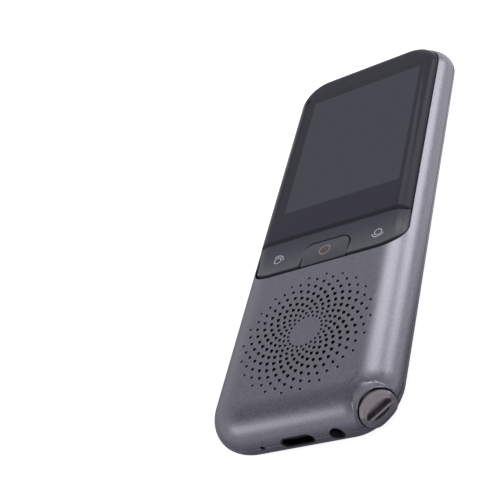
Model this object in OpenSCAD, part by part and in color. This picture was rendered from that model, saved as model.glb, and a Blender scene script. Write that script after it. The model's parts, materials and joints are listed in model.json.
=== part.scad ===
// Handheld translator: a slim pillow-shaped body in two shells, a curved cover glass with a
// rocker band and a centre key below it, a round speaker grille, sockets in the bottom end and
// a lanyard stud in the bottom right corner.
// X runs to the right, Y to the top end and Z out of the back. The origin is the middle of the back.

/* [Body] */
// Width of the body at its widest line
body_w = 52.8; // [50:0.2:56]
// Length of the body at its longest line
body_l = 138; // [134:1:146]
// Height of the flat front face above the back
face_z = 11.7; // [11.4:0.1:12.6]
// Height of the line where the two shells meet
seam_z = 4.7; // [4.5:0.1:4.9]
// Radius of the body's corners in plan
corner_r = 12; // [11:0.5:13]
// Reach of the front face's rounding, in from the edge
front_round = 9.4; // [8.8:0.2:10]
// Reach of the back's rounding along the sides
rear_round_side = 8.2; // [7.4:0.2:8.6]
// Reach of the back's rounding at the two ends
rear_round_end = 3.4; // [3:0.2:4]
// Wall of both shells
wall = 1.8; // [1.6:0.1:2]
// Height of the rear shell's inner lip above the joint
lip_h = 1; // [0.6:0.1:1.4]
// Thickness of the lip
lip_t = 0.8; // [0.6:0.1:1]

/* [Panel] */
// Width of the cover glass and key band
panel_w = 47.8; // [46.6:0.2:48.4]
// Distance from the glass's top edge to the body's top end
panel_top_rim = 2.5; // [2.2:0.1:3]
// Radius of the glass's top corners
panel_top_r = 9.5; // [8:0.5:11]
// Height of the panel's bottom edge along Y
panel_y0 = -18.3; // [-19:0.1:-18]
// Radius of the key band's bottom corners
panel_bottom_r = 7; // [5:0.5:9]
// Place along Y of the split between glass and key band
split_y = -4.9; // [-5.2:0.1:-4.6]
// Width of the groove around the panel
groove = 0.35; // [0.25:0.05:0.5]
// Gap between glass, band and centre key
key_gap = 0.3; // [0.25:0.05:0.4]
// Height of the panel above the front face
proud = 0.3; // [0.1:0.1:0.4]
// Thickness of the cover glass
glass_t = 1.3; // [1.1:0.1:1.4]
// Thickness of the adhesive ring under the glass
adhesive_t = 0.15; // [0.1:0.05:0.2]

/* [Display] */
// Width of the display module
lcd_w = 42.72; // [41:0.1:42.8]
// Length of the display module
lcd_l = 60.26; // [58:0.1:61]
// Thickness of the liquid crystal panel
lcd_t = 1.4; // [1.2:0.1:1.6]
// Thickness of the backlight
backlight_t = 1; // [0.8:0.1:1.2]
// Place along Y of the display module's middle
lcd_y = 31.45; // [31.3:0.05:31.6]
// Width of the touch panel
touch_w = 37.8; // [37:0.1:38.4]
// Length of the touch panel
touch_l = 50; // [49.4:0.1:50.2]
// Thickness of the touch panel
touch_t = 1.2; // [1:0.1:1.3]
// Place along Y of the picture area's middle
picture_y = 34.9; // [34.4:0.1:35.4]
// Sheet thickness of the display tray
tray_t = 0.4; // [0.3:0.05:0.5]

/* [Keys] */
// Thickness of the key band and the centre key
key_t = 1.4; // [1.2:0.1:1.5]
// Width of the centre key
centre_key_w = 14; // [13:0.2:15]
// Height of the centre key along Y
centre_key_l = 8; // [7.6:0.1:8.2]
// Radius of the centre key's upper corners
centre_key_r = 2.8; // [2:0.1:3.4]
// Distance from the middle to each side key
side_key_x = 15.4; // [14.4:0.1:16]
// Place along Y of the side keys
side_key_y = -12.2; // [-12.8:0.1:-11.6]
// Diameter of the rocker's hinge pin
pin_d = 1; // [0.8:0.1:1.1]
// Depth of the hinge pin's axis below the band
pin_drop = 0.95; // [0.9:0.05:1.05]
// Thickness of the key frame
key_frame_t = 0.8; // [0.7:0.1:0.9]
// Thickness of the key board
key_board_t = 0.8; // [0.6:0.1:1]
// Diameter of a snap dome
dome_d = 5; // [4.4:0.1:5.2]
// Height of a snap dome
dome_h = 0.4; // [0.35:0.05:0.45]

/* [Speaker] */
// Place along Y of the speaker and its grille
speaker_y = -40.9; // [-41.4:0.1:-40.6]
// Number of rings in the grille
grille_rings = 12; // [8:1:12]
// Holes in each ring
grille_holes = 22; // [16:1:24]
// Radius of the innermost ring
grille_r0 = 4.85; // [4.4:0.05:5]
// Distance between two rings
grille_pitch = 1.25; // [1.1:0.01:1.25]
// Diameter of the smallest holes
grille_d_min = 0.5; // [0.4:0.05:0.6]
// Diameter of the largest holes
grille_d_max = 1; // [0.7:0.05:1]
// Outer diameter of the speaker
speaker_d = 38.4; // [37.6:0.1:39]
// Height of the speaker's basket
speaker_h = 3.6; // [3.2:0.1:3.8]
// Diameter of the speaker's magnet
magnet_d = 19; // [16:0.5:22]

/* [Sockets] */
// Width of the USB socket
usb_w = 9; // [8.8:0.1:9.2]
// Height of the USB socket
usb_h = 3.2; // [3.1:0.05:3.3]
// Sheet thickness of the USB socket
usb_t = 0.3; // [0.2:0.05:0.35]
// Bore of the headphone socket
jack_bore_d = 3.6; // [3.6:0.05:3.7]
// Place along X of the headphone socket
jack_x = 10.8; // [10.4:0.1:10.9]
// Width of the headphone socket
jack_w = 6; // [5.6:0.1:6.2]
// Length of the headphone socket
jack_l = 12; // [11:0.5:13]
// Place along X of the microphone
mic_x = -10.1; // [-10.6:0.1:-9.6]
// Diameter of the microphone's sound hole
mic_hole_d = 1.3; // [1:0.1:1.5]
// Diameter of the microphone capsule
mic_d = 4; // [3.6:0.1:4.2]

/* [Lanyard] */
// Diameter of the lanyard stud
stud_d = 9.6; // [9:0.1:9.8]
// Length of the lanyard stud
stud_l = 3.8; // [3.6:0.1:4]
// Height of the stud's axis above the back
stud_z = 6; // [5.8:0.1:6.2]
// Direction of the stud's axis in plan
stud_angle = -50; // [-52:1:-45]
// Depth of the stud's face inside the corner's outline
stud_inset = 0.9; // [0.7:0.1:1.1]
// Length of the cord slot
slot_l = 7.6; // [7:0.1:7.8]
// Height of the cord slot
slot_h = 3.2; // [2.8:0.1:3.4]
// Depth of the cord slot
slot_depth = 2.4; // [2:0.1:2.5]
// Diameter of the bar across the slot
bar_d = 1.1; // [0.9:0.1:1.2]

/* [Power] */
// Place along Y of the power button
power_y = -9; // [-10:0.5:-8]
// Length of the power button
power_l = 9; // [8:0.5:10]
// Height of the power button
power_h = 2.2; // [2:0.1:2.4]
// Travel of the power button
power_travel = 0.3; // [0.2:0.05:0.35]

/* [Boards] */
// Thickness of the main board
board_t = 0.8; // [0.7:0.1:0.9]
// Width of the main board
board_w = 42; // [40:0.5:42.5]
// Length of the battery
battery_l = 50; // [44:1:52]
// Width of the battery
battery_w = 37; // [34:0.5:37.5]
// Thickness of the battery
battery_t = 3.9; // [3.4:0.1:4]

/* [Hidden] */

// Round faces; the lofted shells use their own steps below
$fn = 48;
// Points along each corner and slices along each rounding of the lofted shells
corner_steps = 9;
curve_steps = 9;
// Smallest corner radius left by a rounding
least_r = 1.2;
// Overshoot of a cut past the face that it goes through
cut = 1;

half_w = body_w / 2;
half_l = body_l / 2;
front_h = face_z - seam_z;
flat_w = half_w - front_round;
flat_l = half_l - front_round;
inner_z = face_z - wall;

panel_hw = panel_w / 2;
panel_y1 = half_l - panel_top_rim;
glass_y0 = split_y + key_gap / 2;
band_y1 = split_y - key_gap / 2;
glass_under = face_z + proud - glass_t;
ledge_depth = glass_t - proud + adhesive_t;

// The display, stacked down from the glass
touch_gap = 0.4;
display_gap = 0.3;
touch_z0 = glass_under - touch_gap - touch_t;
lcd_z1 = touch_z0 - display_gap;
lcd_z0 = lcd_z1 - lcd_t;
backlight_z0 = lcd_z0 - backlight_t;
tray_z0 = backlight_z0 - tray_t;
tray_gap = 0.15;
tray_wall = 0.5;
tray_wall_h = 1.6;
lcd_y0 = lcd_y - lcd_l / 2;
lcd_y1 = lcd_y + lcd_l / 2;
window_gap = 0.35;
window_hw = lcd_w / 2 + window_gap;
window_y0 = lcd_y0 - window_gap;
window_y1 = lcd_y1 + window_gap;
ear_t = 0.7;
ear_r = 1.6;
ear_z1 = tray_z0 + ear_t;
tray_ears = [
    [-17, window_y0 - 1.6], [17, window_y0 - 1.6],
    [-13, window_y1 + 1.6], [13, window_y1 + 1.6]
];
tray_boss_d = 2.4;

// The keys, stacked down from the band
key_under = face_z + proud - key_t;
pin_z = key_under - pin_drop;
frame_top = key_under - 1.6;
frame_z0 = frame_top - key_frame_t;
key_board_z0 = frame_z0 - key_board_t;
dome_top = frame_z0 + dome_h;
press_gap = 0.05;
stem_end = dome_top + press_gap;
centre_key_y1 = panel_y0 + centre_key_l;
stem_y = panel_y0 + 4.2;
stem_d = 3;
nub_d = 2.6;
cheek_t = 0.9;
cheek_w = 3;
cheek_h = frame_top + 1.4;
pin_y0 = centre_key_y1 + key_gap / 2;
pin_y1 = split_y - 0.1;
pin_play = 0.03;
lug_gap = 0.2;
frame_hw = 18.2;
frame_y0 = panel_y0 - 3.4;
frame_y1 = split_y + 2.9;
key_bosses = [[-15, panel_y0 - 1.9], [15, panel_y0 - 1.9], [-10, split_y + 1.9], [10, split_y + 1.9]];
boss_d = 3;
pilot_d = 1.2;
thread_gap = 0.02;

// The speaker, stacked down from the inside of the front shell
mesh_t = 0.15;
gasket_t = 0.5;
gasket_z0 = inner_z - mesh_t - gasket_t;
flange_t = 0.6;
flange_z0 = gasket_z0 - flange_t;
basket_t = 0.6;
basket_z0 = gasket_z0 - speaker_h;
speaker_r = speaker_d / 2;
speaker_room = 0.4;
basket_foot_r = magnet_d / 2 + 1;
magnet_t = 1.2;

// The sockets, on the line where the shells meet
port_z = seam_z;
port_gap = 0.15;
board_z1 = port_z - usb_h / 2;
board_z0 = board_z1 - board_t;
usb_front = half_l - 0.3;
usb_l = 7.4;
jack_front = half_l - wall - 1.2;
jack_h = 5;
boot_front = half_l - wall - 0.05;
boot_l = 2.3;
boot_d = mic_d + 1.4;

board_y0 = -(half_l - wall - 1.2);
board_y1 = -1;
board_corner_r = 9;
board_posts = [[-17.5, -5], [17.5, -5], [-17.5, -52], [13, -50]];

corner_x = half_w - corner_r;
corner_y = half_l - corner_r;
stud_reach = corner_r - stud_inset;
stud_gap = 0.1;
cup_wall = 1;
cup_floor = 1;

battery_gap = 0.3;
pad_t = 0.15;
battery_y0 = 6;
power_flange_x = half_w - wall - 0.1;
power_flange_t = 0.8;
switch_x1 = 21.6;
switch_l = 4.8;
switch_h = 2.8;
switch_d = 2.8;
plunger_d = 1.6;

// ---------------------------------------------------------------- lofted bodies

// Points of a rounded rectangle, counter-clockwise
function rounded_outline(hw, hl, r) = [
    for (q = [0:3]) for (i = [0:corner_steps])
        let (a = 90 * (q + i / corner_steps))
        [(q == 0 || q == 3 ? 1 : -1) * (hw - r) + r * cos(a), (q < 2 ? 1 : -1) * (hl - r) + r * sin(a)]
];

// A closed solid through rounded rectangles, each given as [z, half width, half length, radius]
module loft(levels) {
    n = 4 * (corner_steps + 1);
    last = len(levels) - 1;
    points = [for (s = levels) for (p = rounded_outline(s[1], s[2], s[3])) [p[0], p[1], s[0]]];
    lower = [for (j = [0:last - 1]) for (i = [0:n - 1])
        [j * n + i, (j + 1) * n + (i + 1) % n, j * n + (i + 1) % n]];
    upper = [for (j = [0:last - 1]) for (i = [0:n - 1])
        [j * n + i, (j + 1) * n + i, (j + 1) * n + (i + 1) % n]];
    bottom = [for (i = [0:n - 1]) i];
    top = [for (i = [n - 1:-1:0]) last * n + i];
    polyhedron(points = points, faces = concat([bottom], lower, upper, [top]));
}

// The front half of the body, its surface moved inwards by d
module front_solid(d) {
    reach = front_round - d;
    loft(concat(
        d > 0 ? [[seam_z - cut, half_w - d, half_l - d, corner_r - d]] : [],
        [for (i = [0:curve_steps])
            let (a = 90 * i / curve_steps, inset = half_w - flat_w - reach * cos(a))
            [seam_z + (front_h - d) * sin(a), half_w - inset, half_l - inset, max(corner_r - inset, least_r)]]
    ));
}

// The rear half of the body, its surface moved inwards by d
module rear_solid(d) {
    loft(concat(
        [for (i = [curve_steps:-1:0])
            let (
                a = 90 * i / curve_steps,
                side = rear_round_side - (rear_round_side - d) * cos(a),
                end = rear_round_end - (rear_round_end - d) * cos(a)
            )
            [seam_z - (seam_z - d) * sin(a), half_w - side, half_l - end, corner_r - (side + end) / 2]],
        d > 0 ? [[seam_z + cut, half_w - d, half_l - d, corner_r - d]] : []
    ));
}

// ---------------------------------------------------------------- outlines

// Outline of the glass and band together, grown by g
module panel_outline(g) {
    hw = panel_hw + g;
    y0 = panel_y0 - g;
    y1 = panel_y1 + g;
    rt = panel_top_r + g;
    rb = panel_bottom_r + g;
    translate([-hw, y0 + rb]) square([2 * hw, y1 - rt - y0 - rb]);
    translate([-hw + rb, y0]) square([2 * (hw - rb), rb + cut]);
    translate([-hw + rt, y1 - rt - cut]) square([2 * (hw - rt), rt + cut]);
    for (s = [-1, 1]) {
        translate([s * (hw - rb), y0 + rb]) circle(r = rb);
        translate([s * (hw - rt), y1 - rt]) circle(r = rt);
    }
}

// Outline of the centre key, grown by g; it runs out at the band's bottom edge
module centre_key_outline(g) {
    hw = centre_key_w / 2 + g;
    y1 = centre_key_y1 + g;
    r = centre_key_r;
    translate([-hw, panel_y0 - cut]) square([2 * hw, y1 - r - panel_y0 + cut]);
    translate([-hw + r, y1 - r - cut]) square([2 * (hw - r), r + cut]);
    for (s = [-1, 1]) translate([s * (hw - r), y1 - r]) circle(r = r);
}

// A stadium of overall width w and height h
module stadium(w, h) {
    square([w - h, h], center = true);
    for (s = [-1, 1]) translate([s * (w - h) / 2, 0]) circle(d = h);
}

// An outline carried along Y from the bottom end, x and z as drawn, from depth y0 to y1
module from_bottom_end(x, y0, y1) {
    translate([x, -y0, port_z]) rotate([90, 0, 0]) mirror([0, 0, 1]) linear_extrude(y0 - y1) children();
}

// The skin of the panel between its outer face and t below it
module panel_skin(t) {
    difference() {
        front_solid(-proud);
        front_solid(t - proud);
        translate([-half_w, -half_l, seam_z - cut]) cube([body_w, body_l, front_h / 2 + cut]);
    }
}

// A slab between two places along Y that is wider and taller than the body
module y_slab(y0, y1) {
    translate([-half_w - cut, y0, -cut]) cube([body_w + 2 * cut, y1 - y0, face_z + 3 * cut]);
}

// The stud's frame: Z outwards along its axis, X down, with its face centre at the origin
module at_stud() {
    translate([
        corner_x + stud_reach * cos(stud_angle), -corner_y + stud_reach * sin(stud_angle), stud_z
    ]) rotate([0, 90, stud_angle]) children();
}

// A round bar from height z0 to z1 at each point of a list
module posts(places, d, z0, z1) {
    for (p = places) translate([p[0], p[1], z0]) cylinder(d = d, h = z1 - z0);
}

// Small machine screws that point up from height z: head below, shank above
module screws_up(places, z, shank) {
    posts(places, 2.2, z - 0.5, z);
    posts(places, pilot_d - 2 * thread_gap, z - 0.1, z + shank);
}

// ---------------------------------------------------------------- shells

// The staggered rings of round holes
module grille_holes_2d() {
    for (ring = [0:grille_rings - 1]) {
        d = grille_d_min + (grille_d_max - grille_d_min) * sin(180 * (ring + 0.5) / grille_rings);
        for (i = [0:grille_holes - 1])
            rotate(360 / grille_holes * (i + ring % 2 / 2))
                translate([0, grille_r0 + ring * grille_pitch]) circle(d = d);
    }
}

// The cup that holds the stud, and the pocket in it
module stud_cup() {
    at_stud() translate([0, 0, -stud_l - cup_floor])
        cylinder(d = stud_d + 2 * (stud_gap + cup_wall), h = stud_l + cup_floor + 2 * cut);
}
module stud_pocket() {
    at_stud() {
        translate([0, 0, -stud_l]) cylinder(d = stud_d + 2 * stud_gap, h = stud_l + 4 * cut);
        translate([0, 0, -stud_l - 2 * cut]) cylinder(d = pilot_d + 0.6, h = 3 * cut);
    }
}

// The holes through the shells at the bottom end and the left side
module port_cuts() {
    from_bottom_end(0, half_l + cut, half_l - wall - 2 * cut) stadium(usb_w + 2 * port_gap, usb_h + 2 * port_gap);
    from_bottom_end(jack_x, half_l + cut, jack_front - 0.1) circle(d = jack_bore_d + 0.2);
    from_bottom_end(mic_x, half_l + cut, boot_front - cut) circle(d = mic_hole_d);
    from_bottom_end(mic_x, boot_front + 0.02, boot_front - boot_l - cut) circle(d = boot_d + 0.2);
    power_opening(port_gap);
}
module power_opening(g) {
    translate([-half_w - cut, power_y, port_z]) rotate([0, 90, 0]) rotate(90)
        linear_extrude(wall + 2 * cut) stadium(power_l + 2 * g, power_h + 2 * g);
    translate([-power_flange_x - g / 3, power_y - power_l / 2 - 1, port_z - power_h / 2 - 0.8])
        cube([power_flange_t + power_travel + 4 * g, power_l + 2, power_h + 1.6]);
}

module front_shell() {
    color("#6d6b73") difference() {
        union() {
            difference() {
                front_solid(0);
                front_solid(wall);
            }
            intersection() {
                stud_cup();
                front_solid(0);
            }
            // bridge under the split, which carries the key frame and the tray
            translate([-window_hw, glass_y0 + 0.4, frame_top])
                cube([2 * window_hw, window_y0 - glass_y0 - 0.4, inner_z - frame_top + 0.1]);
            posts([key_bosses[0], key_bosses[1]], boss_d, frame_top, inner_z + 0.1);
            intersection() {
                posts(tray_ears, tray_boss_d, ear_z1, face_z);
                front_solid(ledge_depth + 0.01);
            }
        }
        // recess for the glass, down to the ledge
        difference() {
            translate([0, 0, seam_z + cut]) linear_extrude(front_h + cut) panel_outline(groove);
            front_solid(ledge_depth);
            translate([0, 0, -cut]) y_slab(-half_l, split_y - cut);
        }
        // opening for the keys, right through
        intersection() {
            translate([0, 0, seam_z + cut]) linear_extrude(front_h + cut) panel_outline(groove);
            y_slab(-half_l, glass_y0 + 0.4);
        }
        // window for the display
        translate([-window_hw, window_y0, ear_z1 + 0.2])
            cube([2 * window_hw, window_y1 - window_y0, face_z]);
        // seat of the speaker and the holes in front of it
        translate([0, speaker_y, flange_z0 - cut])
            cylinder(r = speaker_r + speaker_room, h = inner_z - flange_z0 + cut);
        translate([0, speaker_y, inner_z - cut]) linear_extrude(wall + 2 * cut) grille_holes_2d();
        posts(key_bosses, pilot_d, frame_top - cut, frame_top + 1.3);
        posts(tray_ears, pilot_d, ear_z1 - cut, ear_z1 + 1.6);
        stud_pocket();
        port_cuts();
    }
}

// The lip that stands inside the front shell; it stops for the sockets and the stud
module rear_lip() {
    hw = half_w - wall - 0.25;
    hl = half_l - wall - 0.25;
    r = corner_r - wall - 0.25;
    z0 = seam_z / 2;
    difference() {
        loft([[z0, hw, hl, r], [seam_z + lip_h, hw, hl, r]]);
        loft([[z0 - cut, hw - lip_t, hl - lip_t, r - lip_t], [seam_z + lip_h + cut, hw - lip_t, hl - lip_t, r - lip_t]]);
        translate([mic_x - boot_d, -half_l, 0]) cube([jack_x - mic_x + 2 * boot_d, 2 * corner_r / 3, face_z]);
        at_stud() cylinder(d = stud_d + 2 * (stud_gap + cup_wall) + 0.4, h = 40, center = true);
    }
}

module rear_shell() {
    color("#5f5d66") difference() {
        union() {
            difference() {
                rear_solid(0);
                rear_solid(wall);
            }
            intersection() {
                stud_cup();
                rear_solid(0);
            }
            rear_lip();
            posts(board_posts, boss_d, wall - 0.1, board_z0);
        }
        posts(board_posts, pilot_d, 0.8, board_z0 + cut);
        stud_pocket();
        port_cuts();
    }
}

// ---------------------------------------------------------------- glass and display

module cover_glass() {
    color("#10131a") intersection() {
        panel_skin(glass_t);
        linear_extrude(face_z + cut) panel_outline(0);
        y_slab(glass_y0, half_l);
    }
}

module glass_adhesive() {
    color("#1b1b1d") intersection() {
        difference() {
            front_solid(glass_t - proud);
            front_solid(ledge_depth);
            translate([-window_hw - 0.3, window_y0 - 0.3, 0])
                cube([2 * window_hw + 0.6, window_y1 - window_y0 + 0.6, face_z + cut]);
            translate([-half_w, -half_l, seam_z - cut]) cube([body_w, body_l, front_h / 3 + cut]);
        }
        linear_extrude(face_z + cut) panel_outline(-0.3);
        y_slab(glass_y0 + 0.5, half_l);
    }
}

module touch_panel() {
    color("#2b3038") translate([-touch_w / 2, picture_y - touch_l / 2, touch_z0])
        cube([touch_w, touch_l, touch_t]);
}

module lcd_panel() {
    color("#23262c") translate([-lcd_w / 2, lcd_y0, lcd_z0]) cube([lcd_w, lcd_l, lcd_t]);
}

module backlight() {
    color("white") translate([-lcd_w / 2, lcd_y0, backlight_z0]) cube([lcd_w, lcd_l, backlight_t]);
}

module display_tray() {
    hw = lcd_w / 2 + tray_gap;
    y0 = lcd_y0 - tray_gap;
    l = lcd_l + 2 * tray_gap;
    color("silver") difference() {
        union() {
            translate([-hw - tray_wall, y0 - tray_wall, tray_z0])
                cube([2 * (hw + tray_wall), l + 2 * tray_wall, tray_t + tray_wall_h]);
            for (p = tray_ears) {
                toward = p[1] < lcd_y ? y0 : y0 + l;
                translate([p[0], p[1], tray_z0]) cylinder(r = ear_r, h = ear_t);
                translate([p[0] - ear_r, min(p[1], toward), tray_z0])
                    cube([2 * ear_r, abs(toward - p[1]), ear_t]);
            }
        }
        translate([-hw, y0, backlight_z0]) cube([2 * hw, l, lcd_t + backlight_t + cut]);
        posts(tray_ears, pilot_d + 0.3, tray_z0 - cut, ear_z1 + cut);
        translate([flex_x0 - 0.5, y0 - tray_wall - cut, backlight_z0 + 0.2]) cube([flex_w + 1, 2 * cut, lcd_t + 1]);
    }
}

module display_screws() {
    color("dimgray") screws_up(tray_ears, tray_z0, ear_t + 1.4);
}

flex_x0 = 6;
flex_w = 9;
flex_t = 0.15;
flex_y = window_y0 - 0.9;
socket_h = 1;
display_socket_y = -7;

// A ribbon that leaves a board's edge at y0, z0, drops down at yd and runs on to y1 at height z1
module ribbon(x0, w, y0, z0, yd, z1, y1) {
    translate([x0, min(yd, y0), z0]) cube([w, abs(yd - y0), flex_t]);
    translate([x0, yd, z1]) cube([w, flex_t, z0 - z1 + flex_t]);
    translate([x0, min(yd + flex_t, y1), z1]) cube([w, abs(yd + flex_t - y1), flex_t]);
}

module display_flex() {
    color("#b8722c") ribbon(flex_x0, flex_w, lcd_y0, backlight_z0 + 0.5, flex_y, board_z1 + socket_h / 2, display_socket_y + 3);
}

module display_socket() {
    color("ivory") translate([flex_x0 - 1, display_socket_y, board_z1]) cube([flex_w + 2, 3, socket_h]);
}

// ---------------------------------------------------------------- keys

// The band tilts on its pin to press the left or the right switch
module rocker_key() {
    color("#3e424c") {
        difference() {
            intersection() {
                panel_skin(key_t);
                linear_extrude(face_z + cut) panel_outline(0);
                y_slab(panel_y0, band_y1);
            }
            linear_extrude(face_z + 2 * cut) centre_key_outline(key_gap);
        }
        difference() {
            translate([-cheek_w / 2, pin_y0 + cheek_t + lug_gap, pin_z - pin_d])
                cube([cheek_w, pin_y1 - pin_y0 - 2 * (cheek_t + lug_gap), key_under - pin_z + pin_d + 0.2]);
            translate([0, 0, pin_z]) rotate([90, 0, 0]) cylinder(d = pin_d + 2 * pin_play, h = body_l, center = true);
        }
        for (s = [-1, 1]) translate([s * side_key_x, side_key_y, stem_end])
            cylinder(d = nub_d, h = key_under - stem_end + 0.2);
    }
}

module centre_key() {
    color("#4b4c57") {
        intersection() {
            panel_skin(key_t);
            linear_extrude(face_z + cut) centre_key_outline(0);
            y_slab(panel_y0, band_y1);
        }
        translate([0, stem_y, stem_end]) cylinder(d = stem_d, h = key_under - stem_end + 0.2);
        // wings that keep the key under the band
        translate([-centre_key_w / 2 - 0.9, stem_y - 2.5, key_under - 0.7]) cube([centre_key_w + 1.8, 5, 0.4]);
        translate([-centre_key_w / 2 + 0.4, stem_y - 2.5, key_under - 0.4]) cube([centre_key_w - 0.8, 5, 0.5]);
    }
}

module rocker_pin() {
    color("silver") translate([0, pin_y1, pin_z]) rotate([90, 0, 0]) cylinder(d = pin_d, h = pin_y1 - pin_y0);
}

module key_frame() {
    color("#2a2b2f") difference() {
        union() {
            translate([-frame_hw, frame_y0, frame_z0]) cube([2 * frame_hw, frame_y1 - frame_y0, key_frame_t]);
            for (y = [pin_y0, pin_y1 - cheek_t])
                translate([-cheek_w / 2, y, frame_z0]) cube([cheek_w, cheek_t, cheek_h - frame_z0]);
        }
        translate([0, 0, pin_z]) rotate([90, 0, 0]) cylinder(d = pin_d + 2 * thread_gap, h = body_l, center = true);
        // room for the rocker's lug
        translate([-cheek_w / 2 - 0.4, pin_y0 + cheek_t, frame_z0 - cut])
            cube([cheek_w + 0.8, pin_y1 - pin_y0 - 2 * cheek_t, key_frame_t + 2 * cut]);
        for (s = [-1, 1]) translate([s * side_key_x, side_key_y, frame_z0 - cut]) cylinder(d = nub_d + 1, h = 3 * cut);
        translate([0, stem_y, frame_z0 - cut]) cylinder(d = stem_d + 0.1, h = 3 * cut);
        for (p = dome_places) translate([p[0], p[1], frame_z0 - cut]) cylinder(d = dome_d + 0.5, h = cut + 0.5);
        posts(key_bosses, pilot_d + 0.3, frame_z0 - cut, frame_top + cut);
        translate([0, speaker_y, 0]) cylinder(r = speaker_r + 2 * speaker_room, h = face_z);
    }
}

dome_places = [[-side_key_x, side_key_y], [0, stem_y], [side_key_x, side_key_y]];

module key_board() {
    color("darkgreen") translate([-frame_hw, panel_y0 + 0.2, key_board_z0])
        cube([2 * frame_hw, split_y - panel_y0 - 0.4, key_board_t]);
}

module key_screws() {
    color("dimgray") screws_up(key_bosses, frame_z0, key_frame_t + 1.1);
}

// A thin sprung metal cap that snaps flat when it's pressed
module dome(place) {
    sheet = 0.1;
    steps = 5;
    outer = [for (i = [0:steps]) [dome_d / 2 * i / steps, dome_h * (1 - pow(i / steps, 2))]];
    inner = [for (i = [steps:-1:0]) [(dome_d / 2 - sheet) * i / steps, (dome_h - sheet) * (1 - pow(i / steps, 2))]];
    color("gainsboro") translate([place[0], place[1], frame_z0])
        rotate_extrude() polygon(concat(outer, inner));
}
module left_dome() { dome(dome_places[0]); }
module centre_dome() { dome(dome_places[1]); }
module right_dome() { dome(dome_places[2]); }

module key_flex() {
    color("#b8722c") ribbon(-16, 4, split_y - 0.2, key_board_z0 + 0.3, split_y + 1.2, board_z1 + 0.05, split_y + 0.2);
}

// ---------------------------------------------------------------- speaker

module grille_mesh() {
    color("#141416") translate([0, speaker_y, inner_z - mesh_t]) cylinder(r = speaker_r, h = mesh_t);
}

module speaker_gasket() {
    color("#202022") translate([0, speaker_y, gasket_z0]) difference() {
        cylinder(r = speaker_r, h = gasket_t);
        translate([0, 0, -cut]) cylinder(r = speaker_r - 1.6, h = gasket_t + 2 * cut);
    }
}

module speaker_frame() {
    slope_r = speaker_r - 2;
    color("#3b3c40") translate([0, speaker_y, 0]) rotate_extrude() {
        translate([slope_r - basket_t, flange_z0]) square([speaker_r - slope_r + basket_t, flange_t]);
        polygon([
            [slope_r, flange_z0], [slope_r - basket_t, flange_z0 + flange_t / 2],
            [basket_foot_r - basket_t, basket_z0 + basket_t], [basket_foot_r, basket_z0]
        ]);
        translate([2.5, basket_z0]) square([basket_foot_r - 2.5, basket_t]);
    }
}

module speaker_magnet() {
    color("#8f9092") translate([0, speaker_y, basket_z0 - magnet_t]) cylinder(d = magnet_d, h = magnet_t);
}

// Surround, cone and dust cap in one piece
module speaker_cone() {
    rim_r = speaker_r - 2.8;
    coil_r = 5;
    coil_z = basket_z0 + basket_t + 0.3;
    top_z = flange_z0 + flange_t;
    color("#232326") translate([0, speaker_y, 0]) rotate_extrude() {
        polygon([
            [rim_r + 1.2, top_z + 0.2], [rim_r + 1.2, top_z], [rim_r + 0.1, top_z], [rim_r, top_z - 0.3],
            [coil_r, coil_z + 1], [coil_r, coil_z], [coil_r - 0.4, coil_z], [coil_r - 0.4, coil_z + 1.4],
            [0, coil_z + 1.8], [0, coil_z + 2.1], [coil_r, coil_z + 1.4], [rim_r - 0.6, top_z]
        ]);
    }
}

module speaker_leads() {
    color("firebrick") for (x = [-1.2, 1.2])
        translate([x, speaker_y - speaker_r + 0.9, board_z1]) cylinder(d = 0.8, h = flange_z0 - board_z1, $fn = 24);
}

// ---------------------------------------------------------------- lanyard stud

// A lens between two arcs, cut off square at its ends
module lens(l, h) {
    half = l / 2 + 0.5;
    r = (half * half + h * h / 4) / h;
    intersection() {
        translate([r - h / 2, 0]) circle(r = r, $fn = 96);
        translate([h / 2 - r, 0]) circle(r = r, $fn = 96);
        square([h + cut, l], center = true);
    }
}

module lanyard_stud() {
    edge_r = 0.9;
    r = stud_d / 2;
    color("#85787b") at_stud() difference() {
        rotate_extrude() {
            translate([0, -stud_l]) square([r - edge_r, stud_l]);
            translate([0, -stud_l]) square([r, stud_l - edge_r]);
            translate([r - edge_r, -edge_r]) circle(r = edge_r);
        }
        translate([0, 0, -slot_depth]) linear_extrude(slot_depth + cut) lens(slot_l, slot_h);
        stud_bar(thread_gap);
        translate([0, 0, -stud_l - cut]) cylinder(d = pilot_d, h = cut + 1.1);
    }
}

// The bar lies along the slot, low in it, with its ends held in the stud
module stud_bar(g) {
    translate([0.45, 0, -1.25]) rotate([90, 0, 0]) cylinder(d = bar_d + 2 * g, h = slot_l + 0.8 + 2 * g, center = true);
}
module lanyard_bar() {
    color("#a39a9b") at_stud() stud_bar(0);
}

module lanyard_screw() {
    color("dimgray") at_stud() {
        translate([0, 0, -stud_l - cup_floor - 0.7]) cylinder(d = 2.6, h = 0.7);
        translate([0, 0, -stud_l - cup_floor - 0.1]) cylinder(d = pilot_d - 2 * thread_gap, h = cup_floor + 1.1);
    }
}

// ---------------------------------------------------------------- sockets and microphone

module usb_shell() {
    color("silver") difference() {
        from_bottom_end(0, usb_front, usb_front - usb_l) stadium(usb_w, usb_h);
        from_bottom_end(0, usb_front + cut, usb_front - usb_l - cut) stadium(usb_w - 2 * usb_t, usb_h - 2 * usb_t);
    }
}

module usb_tongue() {
    g = 0.03;
    color("#1d1d20") {
        from_bottom_end(0, usb_front - 1, usb_front - usb_l + 0.5) square([6.7, 0.7], center = true);
        from_bottom_end(0, usb_front - usb_l + 1.6, usb_front - usb_l)
            stadium(usb_w - 2 * usb_t - 2 * g, usb_h - 2 * usb_t - 2 * g);
    }
}

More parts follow.
